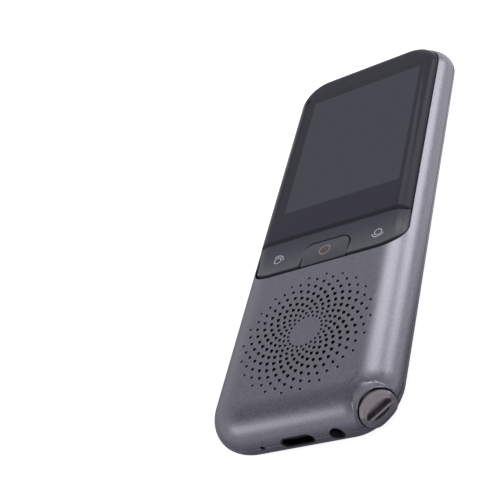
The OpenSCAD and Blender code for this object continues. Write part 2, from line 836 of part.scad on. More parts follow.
module headphone_jack() {
    color("#18181a") difference() {
        union() {
            from_bottom_end(jack_x, jack_front, jack_front - jack_l) square([jack_w, jack_h], center = true);
            // feet on the board, beside the notch that the body sits in
            translate([jack_x - jack_w / 2 - 1.2, -jack_front + 2, board_z1]) cube([jack_w + 2.4, jack_l - 4, 0.6]);
        }
        from_bottom_end(jack_x, jack_front + cut, jack_front - jack_l + 1) circle(d = jack_bore_d);
    }
}

module mic_boot() {
    color("#28282b") difference() {
        from_bottom_end(mic_x, boot_front, boot_front - boot_l) circle(d = boot_d);
        from_bottom_end(mic_x, boot_front + cut, boot_front - boot_l - cut) circle(d = mic_hole_d);
        from_bottom_end(mic_x, boot_front - 0.6, boot_front - boot_l - cut) circle(d = mic_d + 0.04);
    }
}

module microphone() {
    color("#b9b9bd") from_bottom_end(mic_x, boot_front - 0.62, boot_front - boot_l) circle(d = mic_d);
}

// ---------------------------------------------------------------- power button

module power_button() {
    g = 0.05;
    color("#56545c") {
        translate([-half_w + g, power_y, port_z]) rotate([0, 90, 0]) rotate(90)
            linear_extrude(half_w - power_flange_x) stadium(power_l, power_h);
        translate([-power_flange_x, power_y - power_l / 2 - 0.6, port_z - power_h / 2 - 0.5])
            cube([power_flange_t, power_l + 1.2, power_h + 1]);
    }
}

module power_plunger() {
    start = power_flange_x - power_flange_t - press_gap;
    color("#d8c9a0") translate([-start, power_y, port_z]) rotate([0, 90, 0])
        cylinder(d = plunger_d, h = start - switch_x1 + 1);
}

module power_switch() {
    color("#c9cacd") difference() {
        translate([-switch_x1, power_y - switch_l / 2, board_z1]) cube([switch_d, switch_l, switch_h]);
        translate([-switch_x1 - cut, power_y, port_z]) rotate([0, 90, 0]) cylinder(d = plunger_d + 0.1, h = 2.4 + cut);
    }
}

// ---------------------------------------------------------------- boards and battery

module main_board() {
    hw = board_w / 2;
    r = board_corner_r;
    color("#1f5a34") difference() {
        translate([0, 0, board_z0]) linear_extrude(board_t) {
            translate([-hw, board_y0 + r]) square([board_w, board_y1 - board_y0 - r]);
            translate([-hw + r, board_y0]) square([board_w - 2 * r, r + cut]);
            for (s = [-1, 1]) translate([s * (hw - r), board_y0 + r]) circle(r = r);
        }
        posts(board_posts, pilot_d + 0.3, board_z0 - cut, board_z1 + cut);
        translate([jack_x - jack_w / 2 - 0.2, -half_l, board_z0 - cut])
            cube([jack_w + 0.4, half_l - jack_front + jack_l + 0.2, board_t + 2 * cut]);
        translate([mic_x - boot_d / 2 - 0.2, -half_l, board_z0 - cut])
            cube([boot_d + 0.4, half_l - boot_front + boot_l + 0.3, board_t + 2 * cut]);
        at_stud() cylinder(d = stud_d + 2 * (stud_gap + cup_wall) + 0.5, h = 2 * (stud_l + cup_floor + 1), center = true);
    }
}

module board_screws() {
    color("dimgray") {
        posts(board_posts, 2.6, board_z1, board_z1 + 0.6);
        posts(board_posts, pilot_d - 2 * thread_gap, 0.9, board_z1 + 0.1);
    }
}

module processor() {
    color("#17181a") translate([-12, -26, board_z1]) cube([10, 10, 1]);
}

module shield_can() {
    color("gainsboro") difference() {
        translate([-15, -29, board_z1]) cube([16, 16, 1.8]);
        translate([-14.8, -28.8, board_z1 - cut]) cube([15.6, 15.6, 1.6 + cut]);
    }
}

module wifi_module() {
    color("#3f6f8f") translate([5, -27, board_z1]) cube([12, 12, 1.6]);
}

module antenna() {
    color("white") translate([board_w / 2 - 3, -26, board_z1]) cube([2, 8, 1]);
}

module battery() {
    z0 = wall + pad_t;
    r = battery_t / 2;
    color("#c9ccd2") translate([-battery_w / 2, battery_y0, z0]) {
        translate([r, 0, 0]) cube([battery_w - 2 * r, battery_l, battery_t]);
        for (x = [r, battery_w - r]) translate([x, 0, r]) rotate([-90, 0, 0]) cylinder(r = r, h = battery_l);
    }
}

module battery_pad() {
    color("#2d2d30") translate([-battery_w / 2 + battery_t, battery_y0 + 4, wall])
        cube([battery_w - 2 * battery_t, battery_l - 8, pad_t]);
}

module battery_socket() {
    color("ivory") translate([-4, -6, board_z1]) cube([6, 4, 1.4]);
}

module battery_leads() {
    color("firebrick") for (x = [-2.2, 0.2])
        translate([x, -2, board_z1 + 0.7]) rotate([-90, 0, 0]) cylinder(d = 0.9, h = battery_y0 + 2, $fn = 24);
}

front_shell();
rear_shell();
cover_glass();
glass_adhesive();
touch_panel();
lcd_panel();
backlight();
display_tray();
display_screws();
display_flex();
rocker_key();
centre_key();
rocker_pin();
key_frame();
key_board();
key_screws();
left_dome();
centre_dome();
right_dome();
key_flex();
speaker_frame();
speaker_cone();
speaker_magnet();
speaker_gasket();
grille_mesh();
speaker_leads();
lanyard_stud();
lanyard_bar();
lanyard_screw();
usb_shell();
usb_tongue();
headphone_jack();
microphone();
mic_boot();
power_button();
power_plunger();
power_switch();
main_board();
board_screws();
processor();
shield_can();
wifi_module();
antenna();
battery();
battery_pad();
battery_leads();
battery_socket();
display_socket();
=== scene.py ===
"""Handheld translator: smooth painted shells, curved cover glass, satin keys, drilled grille and metal stud.

Lengths in this script are millimetres in the part's own frame; put() turns them to metres.
"""

import json
import math

import bpy
import numpy as np
from mathutils import Matrix, Vector
from mathutils.geometry import delaunay_2d_cdt

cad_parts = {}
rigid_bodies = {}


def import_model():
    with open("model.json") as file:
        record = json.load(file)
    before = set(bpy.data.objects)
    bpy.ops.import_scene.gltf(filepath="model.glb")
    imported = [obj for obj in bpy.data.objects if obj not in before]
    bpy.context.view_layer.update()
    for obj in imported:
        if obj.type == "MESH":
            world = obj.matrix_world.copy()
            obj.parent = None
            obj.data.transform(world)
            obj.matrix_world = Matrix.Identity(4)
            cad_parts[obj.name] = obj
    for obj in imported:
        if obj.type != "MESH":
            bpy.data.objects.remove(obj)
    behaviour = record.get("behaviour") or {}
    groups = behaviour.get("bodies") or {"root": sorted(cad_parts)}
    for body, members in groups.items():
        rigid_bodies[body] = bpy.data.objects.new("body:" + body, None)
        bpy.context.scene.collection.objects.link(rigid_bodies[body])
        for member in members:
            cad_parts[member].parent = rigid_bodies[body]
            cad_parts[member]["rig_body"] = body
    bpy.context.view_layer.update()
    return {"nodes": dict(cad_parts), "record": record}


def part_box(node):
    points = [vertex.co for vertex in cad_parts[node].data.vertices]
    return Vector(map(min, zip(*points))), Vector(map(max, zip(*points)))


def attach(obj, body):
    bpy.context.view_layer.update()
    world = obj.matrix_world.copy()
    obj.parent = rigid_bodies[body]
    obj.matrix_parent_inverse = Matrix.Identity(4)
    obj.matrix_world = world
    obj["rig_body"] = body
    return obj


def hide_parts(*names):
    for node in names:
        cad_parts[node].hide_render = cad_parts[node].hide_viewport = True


MM = 0.001

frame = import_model()


def extent(name):
    """Lowest and highest corner of a CAD node, in millimetres."""
    low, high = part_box(name)
    return np.array(low) / MM, np.array(high) / MM


# ---------------------------------------------------------------- camera

CAMERA_PLACE = (144.31, -215.68, 182.27)
CAMERA_RIGHT = (0.811, 0.215, -0.544)
CAMERA_FORWARD = (-0.532, 0.659, -0.532)
LENS = 82.7
SENSOR = 36.0


def place_camera():
    """The view's three axes are made square to each other before they turn the camera."""
    back = -Vector(CAMERA_FORWARD).normalized()
    right = Vector(CAMERA_RIGHT)
    right = (right - right.dot(back) * back).normalized()
    up = back.cross(right)
    data = bpy.data.cameras.new("camera")
    data.lens = LENS
    data.sensor_width = SENSOR
    data.clip_start = 0.01
    camera = bpy.data.objects.new("camera", data)
    bpy.context.scene.collection.objects.link(camera)
    turn = Matrix((right, up, back)).transposed().to_4x4()
    camera.matrix_world = Matrix.Translation(Vector(CAMERA_PLACE) * MM) @ turn
    bpy.context.scene.camera = camera


place_camera()

# ---------------------------------------------------------------- sizes of the body

shell_high = extent("front_shell")[1]
panel_low, panel_high = extent("cover_glass")
key_low, key_high = extent("rocker_key")

HALF_W = shell_high[0]
HALF_L = shell_high[1]
SEAM = 4.7
FACE = shell_high[2]
CORNER = 12.0
FRONT_REACH = 9.4
REAR_SIDE_REACH = 8.2
REAR_END_REACH = 3.4
WALL = 1.8
SEAM_SLIT = 0.13
SEAM_CHAMFER = 0.05

PANEL_Z = panel_high[2]
PANEL_HALF_W = panel_high[0] - 0.35
PANEL_TOP = panel_high[1]
PANEL_TOP_R = 9.5
PANEL_BOTTOM_R = 7.0
PANEL_TURN = 4.4
PANEL_SLOPE = math.radians(60)
GROOVE = 0.35
GROOVE_UNDER_BAND = 0.95
GLASS_T = 1.3
GLASS_BOTTOM = panel_low[1]
BAND_TOP = key_high[1]
BAND_BOTTOM = key_low[1] + 1.25
KEY_T = 1.4
KEY_GAP = 0.3
KEY_HALF_W = 7.0
KEY_TOP = BAND_BOTTOM + 8.1
KEY_R = 2.8

# The picture area is a standard 2.4 inch panel's. The glass is clear a little beyond it, where
# the mask film shows, and that film runs on under the ink on every side.
PICTURE_W, PICTURE_L, PICTURE_Y = 36.72, 48.96, 32.7
WINDOW_W, WINDOW_L, WINDOW_Y = 40.2, 51.9, 31.55
MASK_MARGIN_X, MASK_MARGIN_Y, MASK_R = 1.8, 3.4, 3.0

# ---------------------------------------------------------------- materials


def colour(text):
    """An sRGB hex value as linear red, green, blue and alpha."""
    parts = [int(text[i : i + 2], 16) / 255 for i in (1, 3, 5)]
    return [p / 12.92 if p <= 0.04045 else ((p + 0.055) / 1.055) ** 2.4 for p in parts] + [1.0]


def add(tree, kind, inputs=None, **settings):
    """Adds a node: settings are its own properties, and an input is a value or a linked output."""
    made = tree.nodes.new(kind)
    for key, value in settings.items():
        setattr(made, key, value)
    for key, value in (inputs or {}).items():
        if isinstance(value, bpy.types.NodeSocket):
            tree.links.new(value, made.inputs[key])
        else:
            made.inputs[key].default_value = value
    return made


def maths(tree, operation, *values, **settings):
    """The result of a Math node whose inputs are values or linked outputs."""
    return add(tree, "ShaderNodeMath", dict(enumerate(values)), operation=operation, **settings).outputs[0]


def finish_of(name, base, **sockets):
    """A material with one Principled shader; sockets are named with _ for a space."""
    material = bpy.data.materials.new(name)
    material.use_nodes = True
    tree = material.node_tree
    shader = tree.nodes["Principled BSDF"]
    shader.inputs["Base Color"].default_value = colour(base)
    for key, value in sockets.items():
        shader.inputs[key.replace("_", " ")].default_value = value
    material.diffuse_color = colour(base)
    return material, tree, shader


def varied(tree, vector, size, low, high, detail=2.0):
    """Soft noise with patches of a size in millimetres, as a number from low to high."""
    noise = add(tree, "ShaderNodeTexNoise", {"Vector": vector, "Scale": 1 / (size * MM), "Detail": detail})
    span = {"Value": noise.outputs["Fac"], "From Min": 0.3, "From Max": 0.7, "To Min": low, "To Max": high}
    return add(tree, "ShaderNodeMapRange", span).outputs["Result"]


def tinted(tree, dark, light, share):
    """A mix of two colours by a number from 0 to 1."""
    ramp = add(tree, "ShaderNodeValToRGB", {"Fac": share})
    ramp.color_ramp.elements[0].color = colour(dark)
    ramp.color_ramp.elements[1].color = colour(light)
    return ramp.outputs["Color"]


def moulded(name, base, light, rough, grain=0.4, depth=0.01, **sockets):
    """Moulded plastic, rubber or film: a faint mottle, and spark-eroded grain of a given size and depth."""
    material, tree, shader = finish_of(name, base, **sockets)
    place = add(tree, "ShaderNodeTexCoord").outputs["Object"]
    mottle = varied(tree, place, 6 * grain, 0, 1)
    tree.links.new(tinted(tree, base, light, mottle), shader.inputs["Base Color"])
    tree.links.new(varied(tree, place, 3 * grain, rough - 0.05, rough + 0.05), shader.inputs["Roughness"])
    bump = {"Height": varied(tree, place, grain, 0, 1), "Distance": depth * MM, "Strength": 0.6}
    tree.links.new(add(tree, "ShaderNodeBump", bump).outputs["Normal"], shader.inputs["Normal"])
    return material


def metallic_lacquer(name, dark, light, rough):
    """Metallic lacquer, sprayed over plastic and cured satin.

    Aluminium flakes sparkle and give wide soft highlights. Real flakes are 0.03 mm; patches of
    0.26 mm are the finest that show. A faint orange peel of 1.5 mm waves lies under them.
    """
    material, tree, shader = finish_of(name, dark, Metallic=0.92)
    place = add(tree, "ShaderNodeTexCoord").outputs["Object"]
    flakes = add(tree, "ShaderNodeTexVoronoi", {"Vector": place, "Scale": 1 / (0.26 * MM)})
    glint = add(tree, "ShaderNodeSeparateColor", {"Color": flakes.outputs["Color"]}).outputs["Red"]
    tree.links.new(tinted(tree, dark, light, glint), shader.inputs["Base Color"])
    spread = {"Value": glint, "To Min": rough - 0.04, "To Max": rough + 0.04}
    tree.links.new(add(tree, "ShaderNodeMapRange", spread).outputs["Result"], shader.inputs["Roughness"])
    peel = varied(tree, place, 1.5, 0, 1, detail=1.0)
    bump = {"Height": peel, "Distance": 0.004 * MM, "Strength": 0.5}
    tree.links.new(add(tree, "ShaderNodeBump", bump).outputs["Normal"], shader.inputs["Normal"])
    return material


def brushed_metal(name, dark, light, rough):
    """Brushed or drawn metal: fine parallel scratches 0.12 mm apart, lighter and darker."""
    material, tree, shader = finish_of(name, dark, Metallic=1.0)
    place = add(tree, "ShaderNodeTexCoord").outputs["Object"]
    turned = add(tree, "ShaderNodeMapping", {"Vector": place, "Scale": (1, 0.04, 1)})
    scratch = varied(tree, turned.outputs["Vector"], 0.12, 0, 1, detail=3.0)
    tree.links.new(tinted(tree, dark, light, scratch), shader.inputs["Base Color"])
    spread = {"Value": scratch, "To Min": rough - 0.06, "To Max": rough + 0.06}
    tree.links.new(add(tree, "ShaderNodeMapRange", spread).outputs["Result"], shader.inputs["Roughness"])
    bump = {"Height": scratch, "Distance": 0.003 * MM, "Strength": 0.4}
    tree.links.new(add(tree, "ShaderNodeBump", bump).outputs["Normal"], shader.inputs["Normal"])
    return material


def circuit_board(name, mask, trace):
    """Solder mask over etched copper: tracks 0.5 mm apart show through it as lighter lines."""
    material, tree, shader = finish_of(name, mask, Roughness=0.35)
    place = add(tree, "ShaderNodeTexCoord").outputs["Object"]
    cells = add(tree, "ShaderNodeTexBrick", {"Vector": place, "Scale": 1 / (2.0 * MM), "Mortar Size": 0.06})
    for socket, tone in (("Color1", mask), ("Color2", mask), ("Mortar", trace)):
        cells.inputs[socket].default_value = colour(tone)
    tree.links.new(cells.outputs["Color"], shader.inputs["Base Color"])
    return material


def printed_glass(name, ink_and_painted_sheen, half_w, half_l, window_y, **sockets):
    """Toughened glass with ink printed under it, all but a clear window of a given half size. The ink is
    given a dark grey: black ink with painted reflection, the glass's sheen, in it.
    """
    material, tree, shader = finish_of(name, ink_and_painted_sheen, **sockets)
    place = add(tree, "ShaderNodeTexCoord").outputs["Object"]
    split = add(tree, "ShaderNodeSeparateXYZ", {0: place})
    beyond = []
    for axis, middle, half in (("X", 0, half_w), ("Y", window_y, half_l)):
        away = maths(tree, "ABSOLUTE", maths(tree, "SUBTRACT", split.outputs[axis], middle * MM))
        beyond.append(maths(tree, "GREATER_THAN", away, half * MM))
    tree.links.new(maths(tree, "MAXIMUM", *beyond), shader.inputs["Alpha"])
    return material


def woven_cloth(name, dark, light, thread):
    """Dust cloth: a plain weave, its threads a given distance apart."""
    material, tree, shader = finish_of(name, dark, Roughness=0.9)
    place = add(tree, "ShaderNodeTexCoord").outputs["Object"]
    weave = add(tree, "ShaderNodeTexChecker", {"Vector": place, "Scale": 1 / (thread * MM)})
    weave.inputs["Color1"].default_value = colour(dark)
    weave.inputs["Color2"].default_value = colour(light)
    tree.links.new(weave.outputs["Color"], shader.inputs["Base Color"])
    return material


# The display is off: the faint even glow of its two films stands for the light that they reflect.
FINISHES = {
    "shell_paint": metallic_lacquer("graphite_metallic_lacquer", "#7c7a83", "#8f8d97", 0.36),
    # The ink's dark grey is black ink with the glass's sheen painted in: painted reflection.
    "cover_glass": printed_glass("toughened_printed_glass_painted_sheen", "#414049", WINDOW_W / 2, WINDOW_L / 2,
                                 WINDOW_Y, IOR=1.12, Roughness=0.1),
    "clear_underside": finish_of("uninked_glass_underside", "#f4f6f8", Alpha=0.0)[0],
    "key_gloss": moulded("satin_key_plastic", "#444750", "#494a53", 0.42, grain=0.3, depth=0.002),
    "black_plastic": moulded("black_polycarbonate", "#101012", "#17171a", 0.45),
    "black_rubber": moulded("black_silicone_rubber", "#0c0c0d", "#141415", 0.7),
    "display_dark": moulded("display_polariser_film", "#1b1c20", "#202126", 0.3, depth=0.0),
    "mask_film": moulded("black_mask_film", "#000000", "#010101", 0.5, depth=0.0,
                         Specular_IOR_Level=0.0, Emission_Color=(0.98, 0.97, 1.2, 1),
                         Emission_Strength=0.045),
    "picture_area": moulded("unlit_liquid_crystal", "#000000", "#010101", 0.5, depth=0.0,
                            Specular_IOR_Level=0.0, Emission_Color=(0.95, 0.99, 1.2, 1),
                            Emission_Strength=0.068),
    "display_white": moulded("white_light_guide_acrylic", "#d8dadc", "#e6e8ea", 0.3, depth=0.0),
    "sheet_steel": brushed_metal("stamped_stainless_steel", "#8c8e92", "#a9abaf", 0.3),
    "stud_metal": brushed_metal("satin_plated_zinc", "#a0969b", "#b4aaae", 0.42),
    "polished_metal": brushed_metal("bright_chrome_plating", "#8f8b90", "#a09ca0", 0.12),
    "socket_metal": brushed_metal("nickel_plated_steel", "#4c4c50", "#606064", 0.18),
    "fastener_steel": brushed_metal("blackened_screw_steel", "#3a3a3c", "#55565a", 0.35),
    "board_green": circuit_board("green_solder_mask", "#123f22", "#2a6b3c"),
    "flex_amber": moulded("polyimide_film", "#8a4f1c", "#a8672a", 0.3, depth=0.0),
    "chip_black": moulded("epoxy_chip_package", "#141416", "#1d1d20", 0.55),
    "socket_ivory": moulded("ivory_nylon", "#cfc4a4", "#ddd3b6", 0.45),
    "module_blue": circuit_board("blue_solder_mask", "#1c3f63", "#3f6f97"),
    "ceramic_white": moulded("glazed_ceramic", "#dcdcd8", "#ebebe7", 0.25, depth=0.0),
    "cell_foil": brushed_metal("aluminium_laminate_foil", "#9fa3a9", "#bfc2c7", 0.28),
    "foam_pad": moulded("closed_cell_foam", "#1f1f22", "#2b2b2e", 0.9, grain=0.8, depth=0.05),
    "lead_red": moulded("red_wire_insulation", "#8e1c1c", "#a82a26", 0.4),
    "cone_paper": moulded("coated_cone_film", "#1b1b1e", "#26262a", 0.6),
    "magnet_grey": brushed_metal("plated_magnet_steel", "#6f7072", "#8d8e90", 0.35),
    "mesh_cloth": woven_cloth("acoustic_dust_cloth", "#0b0b0c", "#1b1b1d", 0.25),
    "white_print": moulded("white_ink_print", "#c9cbd2", "#d6d8de", 0.5, depth=0.0),
    "copper_print": moulded("rose_copper_print", "#9a7a70", "#a88578", 0.4, depth=0.0),
}


for row in frame["record"]["subparts"]:
    node_mesh = frame["nodes"][row["node"]].data
    node_mesh.materials.clear()
    node_mesh.materials.append(FINISHES[row["material_slot"]])

# ---------------------------------------------------------------- meshes


def put(name, points, faces, finish, body, slot=None):
    """A mesh piece from points in millimetres and faces, with its finish, riding on a body."""
    mesh = bpy.data.meshes.new(name)
    mesh.from_pydata((np.asarray(points) * MM).tolist(), [], faces)
    mesh.validate()
    piece = bpy.data.objects.new(name, mesh)
    bpy.context.scene.collection.objects.link(piece)
    mesh.materials.append(FINISHES[finish])
    if body:
        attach(piece, body)
    return piece


def strip_faces(rows, columns, first=0):
    """Quads between neighbouring rows of closed loops, as a list."""
    r, c = np.meshgrid(np.arange(rows - 1), np.arange(columns), indexing="ij")
    n = (c + 1) % columns
    quads = np.stack([r * columns + c, r * columns + n, (r + 1) * columns + n, (r + 1) * columns + c], -1)
    return (quads.reshape(-1, 4) + first).tolist()


def closed_tube(loops):
    """Points and faces of stacked closed loops, shape (rows, columns, 3), with flat ends.

    The loops run counter-clockwise seen from the last row, so that the faces point outwards.
    """
    rows, columns = loops.shape[:2]
    faces = strip_faces(rows, columns)
    faces.append(list(range(columns))[::-1])
    faces.append(list(range((rows - 1) * columns, rows * columns)))
    return loops.reshape(-1, 3), faces


def rounded_rectangle(half_w, half_l, r, steps=18):
    """Loops of a rounded rectangle: each corner is a quarter circle about a centre r inside its sides."""
    turn = (np.arange(4)[:, None] + np.linspace(0, 1, steps + 1)) * math.pi / 2
    side_x = np.repeat([1, -1, -1, 1], steps + 1)
    side_y = np.repeat([1, 1, -1, -1], steps + 1)
    turn = turn.ravel()
    half_w, half_l, r = (np.asarray(v, float)[..., None] for v in (half_w, half_l, r))
    return side_x * (half_w - r) + r * np.cos(turn), side_y * (half_l - r) + r * np.sin(turn)


ROUNDING_STEPS = 26


def body_loops(height, side_reach, end_reach, inward, chamfer):
    """Half of the body: an elliptic rounding from the seam to the flat face, as stacked loops.

    At angle a the sides stand in by reach times (1 - cos a) and the height is height times sin a.
    The whole surface lies inward of the real one by a distance. With a chamfer, the loops start
    a slit's width from the seam, so that the two shells leave a fine dark line between them.
    """
    angle = np.linspace(0, math.pi / 2, ROUNDING_STEPS + 1)
    side = side_reach - (side_reach - inward) * np.cos(angle)
    end = end_reach - (end_reach - inward) * np.cos(angle)
    rise = (height - inward) * np.sin(angle)
    if chamfer:
        start = math.asin((SEAM_SLIT + chamfer) / height)
        angle = np.linspace(start, math.pi / 2, ROUNDING_STEPS + 1)
        side = np.append(chamfer, side_reach * (1 - np.cos(angle)))
        end = np.append(chamfer, end_reach * (1 - np.cos(angle)))
        rise = np.append(SEAM_SLIT, height * np.sin(angle))
    else:
        side, end, rise = np.append(inward, side), np.append(inward, end), np.append(-1.0, rise)
    radius = np.maximum(CORNER - (side + end) / 2, 1.2)
    x, y = rounded_rectangle(HALF_W - side, HALF_L - end, radius)
    return np.stack([x, y, np.broadcast_to(rise[:, None], x.shape)], -1)


def front_half(inward, chamfer=0.0, reach=FRONT_REACH):
    """The body from the seam up to the face, as a closed solid."""
    loops = body_loops(FACE - SEAM, reach, reach, inward, chamfer)
    loops[..., 2] += SEAM
    return closed_tube(loops)


def rear_half(inward, chamfer=0.0):
    """The body from the seam down to the back, as a closed solid."""
    loops = body_loops(SEAM, REAR_SIDE_REACH, REAR_END_REACH, inward, chamfer)
    loops[..., 2] = SEAM - loops[..., 2]
    return closed_tube(loops[::-1])


def face_height(x, y):
    """Height of the front surface over a point in plan.

    u is how far the point lies past the flat area, and the height is an ellipse's over u.
    """
    past_x = np.maximum(np.abs(x) - (HALF_W - CORNER), 0)
    past_y = np.maximum(np.abs(y) - (HALF_L - CORNER), 0)
    u = np.maximum(np.hypot(past_x, past_y) - (CORNER - FRONT_REACH), 0)
    share = np.minimum(u / FRONT_REACH, 1)
    return SEAM + (FACE - SEAM) * np.sqrt(1 - share**2)


def panel_height(x, y):
    """Height of the cover panel: flat, its sides and top end turned down through 60 degrees.

    The turn is a round, and it runs in from the outline by its radius times sin 60 degrees.
    """
    past_x = np.maximum(np.abs(x) - (PANEL_HALF_W - PANEL_TOP_R), 0)
    past_y = np.maximum(y - (PANEL_TOP - PANEL_TOP_R), 0)
    in_from = PANEL_TOP_R - np.hypot(past_x, past_y)
    run = np.clip(PANEL_TURN * math.sin(PANEL_SLOPE) - in_from, 0, 0.99 * PANEL_TURN)
    return PANEL_Z - PANEL_TURN + np.sqrt(PANEL_TURN**2 - run**2)


def body_normal(points, height, side_reach, end_reach, up):
    """The body's true surface direction at points on it: along the loops cross up the rounding."""
    rise = np.clip(np.abs(points[:, 2] - SEAM) / height, 0, 1)
    sine, cosine = rise, np.sqrt(1 - rise**2)
    side, end = side_reach * (1 - cosine), end_reach * (1 - cosine)
    radius = CORNER - (side + end) / 2
    past_x = np.maximum(np.abs(points[:, 0]) - (HALF_W - side - radius), 0)
    past_y = np.maximum(np.abs(points[:, 1]) - (HALF_L - end - radius), 0)
    plan = np.hypot(past_x, past_y)
    along_x = np.divide(past_x, plan, out=np.zeros_like(plan), where=plan > 1e-6)
    along_y = np.divide(past_y, plan, out=np.zeros_like(plan), where=plan > 1e-6)
    half_gap = (side_reach - end_reach) / 2 * sine
    mean = (side_reach + end_reach) / 2 * sine
    out = np.stack([
        along_x * height * cosine * np.sign(points[:, 0]),
        along_y * height * cosine * np.sign(points[:, 1]),
        up * (mean + half_gap * (along_x - along_y) + 1e-9),
    ], -1)
    return out / np.linalg.norm(out, axis=1)[:, None]


def carve(piece, cutter, operation="DIFFERENCE"):
    """Cuts a closed mesh out of a piece, or joins it on or keeps what they share, for good."""
    step = piece.modifiers.new("carve", "BOOLEAN")
    step.operation = operation
    step.solver = "MANIFOLD"
    step.object = cutter
    bpy.context.view_layer.update()
    cut = bpy.data.meshes.new_from_object(piece.evaluated_get(bpy.context.evaluated_depsgraph_get()))
    piece.modifiers.clear()
    cut.name = piece.data.name
    piece.data = cut
    bpy.data.objects.remove(cutter)


def solid(points, faces):
    """A nameless tool for carve()."""
    return put("cutter", points, faces, "shell_paint", None)


SHELL_SHARP = math.radians(48)
ALONG_BODY = math.radians(20)
STUD_END_L = 30


def smooth_body(piece, height, side_reach, end_reach, up):
    """Smooth shading, with the body's true directions on every face that lies along its surface.

    The flared collar keeps its own directions: it leaves the body's surface near the stud's end.
    """
    mesh = piece.data
    mesh.set_sharp_from_angle(angle=SHELL_SHARP)
    corners = np.zeros(len(mesh.loops), int)
    mesh.loops.foreach_get("vertex_index", corners)
    places = np.zeros(len(mesh.vertices) * 3)
    mesh.vertices.foreach_get("co", places)
    places = places.reshape(-1, 3)[corners] / MM
    flat = np.zeros(len(mesh.polygons) * 3)
    mesh.polygons.foreach_get("normal", flat)
    sides = np.zeros(len(mesh.polygons), int)
    mesh.polygons.foreach_get("loop_total", sides)
    flat = np.repeat(flat.reshape(-1, 3), sides, axis=0)
    true = body_normal(places, height, side_reach, end_reach, up)
    along = np.einsum("ij,ij->i", flat, true) > math.cos(ALONG_BODY)
    from_stud = np.linalg.norm((places - STUD_FACE) @ STUD_AXES[:2].T, axis=1)
    along &= (from_stud > COLLAR_REACH) | (np.abs(places[:, 1]) < HALF_L - STUD_END_L)
    mesh.normals_split_custom_set(np.where(along[:, None], true, 0).tolist())


PAINT_DEPTH = 0.12
RIM_W = 2


def bare_inside_and_painted_shade(shell):
    """The lacquer covers the outer surface only: the inside is black plastic, and so are bores and grooves,
    whose black is also painted shade.
    """
    mesh = shell.data
    mesh.materials.append(FINISHES["black_plastic"])
    middle = np.zeros(len(mesh.polygons) * 3)
    mesh.polygons.foreach_get("center", middle)
    x, y, z = middle.reshape(-1, 3).T / MM
    away_from_rim = (np.abs(x) < HALF_W - RIM_W) & (np.abs(y) < HALF_L - RIM_W)
    # Sunk faces go black: bare plastic inside the shell, and painted shade on the walls of bores and
    # grooves.
    bare_and_shaded = away_from_rim & (face_height(x, y) - z > PAINT_DEPTH)
    mesh.polygons.foreach_set("material_index", bare_and_shaded.astype(int))


def prism(outline, low, high):
    """An outline in plan carried straight up between two heights."""
    z = np.array([low, high])[:, None]
    x, y = (np.broadcast_to(outline[:, i], (2, len(outline))) for i in (0, 1))
    return closed_tube(np.stack([x, y, np.broadcast_to(z, x.shape)], -1))


def from_bottom_end(x, outline, near, far):
    """An outline in x and z carried along Y from the bottom end, between two places along Y."""
    y = np.array([far, near])[:, None]
    across = np.broadcast_to(x + outline[:, 0], (2, len(outline)))
    up = np.broadcast_to(SEAM + outline[:, 1], (2, len(outline)))
    return closed_tube(np.stack([across, np.broadcast_to(y, across.shape), up], -1))


def stadium(width, height, steps=16):
    """A rounded slot: two half circles joined by straight lines."""
    turn = np.linspace(-math.pi / 2, math.pi / 2, steps + 1)
    reach, r = (width - height) / 2, height / 2
    right = np.stack([reach + r * np.cos(turn), r * np.sin(turn)], -1)
    return np.concatenate([right, -right])


def ring(r, steps=40):
    """A circle about the origin, counter-clockwise."""
    turn = np.arange(steps) * 2 * math.pi / steps
    return np.stack([r * np.cos(turn), r * np.sin(turn)], -1)


def outline(corners, grown=0.0, steps=12):
    """A closed outline of lines and arcs, grown by a distance.

    Each corner is (centre x, centre y, radius, first angle, last angle) in degrees. Where the
    angle falls, the corner is hollow, and it shrinks as the outline grows.
    """
    parts = []
    for x, y, r, first, last in corners:
        turn = np.radians(np.linspace(first, last, steps + 1))
        r = r + grown if last > first else r - grown
        parts.append(np.stack([x + r * np.cos(turn), y + r * np.sin(turn)], -1))
    return np.concatenate(parts)


EDGE_R = 0.3
RIM_STEPS = 4
PLATE_SHARP = math.radians(50)


def panel_corners(low, low_r):
    """The panel's sides and round upper corners over a lower edge, its own corners of a radius."""
    x, high, a, b = PANEL_HALF_W, PANEL_TOP, low_r, PANEL_TOP_R
    return [
        (x - a, low + a, a, -90, 0), (x - b, high - b, b, 0, 90),
        (b - x, high - b, b, 90, 180), (a - x, low + a, a, 180, 270),
    ]


def glass_corners():
    """The cover glass: it ends in a straight lower edge above the band."""
    return panel_corners(GLASS_BOTTOM, EDGE_R)


def recess_corners():
    """Glass and band together, and the wider groove under the band."""
    return panel_corners(BAND_BOTTOM - GROOVE_UNDER_BAND + GROOVE, PANEL_BOTTOM_R)


def band_corners():
    """The key band: round lower corners, and a notch for the centre key in its lower edge."""
    x, low, high = PANEL_HALF_W, BAND_BOTTOM, BAND_TOP
    a, e, n, r = PANEL_BOTTOM_R, EDGE_R, KEY_HALF_W + KEY_GAP, KEY_R + KEY_GAP
    notch = KEY_TOP + KEY_GAP
    return [
        (x - a, low + a, a, -90, 0), (x - e, high - e, e, 0, 90),
        (e - x, high - e, e, 90, 180), (a - x, low + a, a, 180, 270),
        (-n - e, low + e, e, 270, 360), (r - n, notch - r, r, 180, 90),
        (n - r, notch - r, r, 90, 0), (n + e, low + e, e, 180, 270),
    ]


def key_corners():
    """The centre key: round upper corners and nearly square lower ones."""
    x, low, high, e, r = KEY_HALF_W, BAND_BOTTOM, KEY_TOP, EDGE_R, KEY_R
    return [
        (x - e, low + e, e, -90, 0), (x - r, high - r, r, 0, 90),
        (r - x, high - r, r, 90, 180), (e - x, low + e, e, 180, 270),
    ]


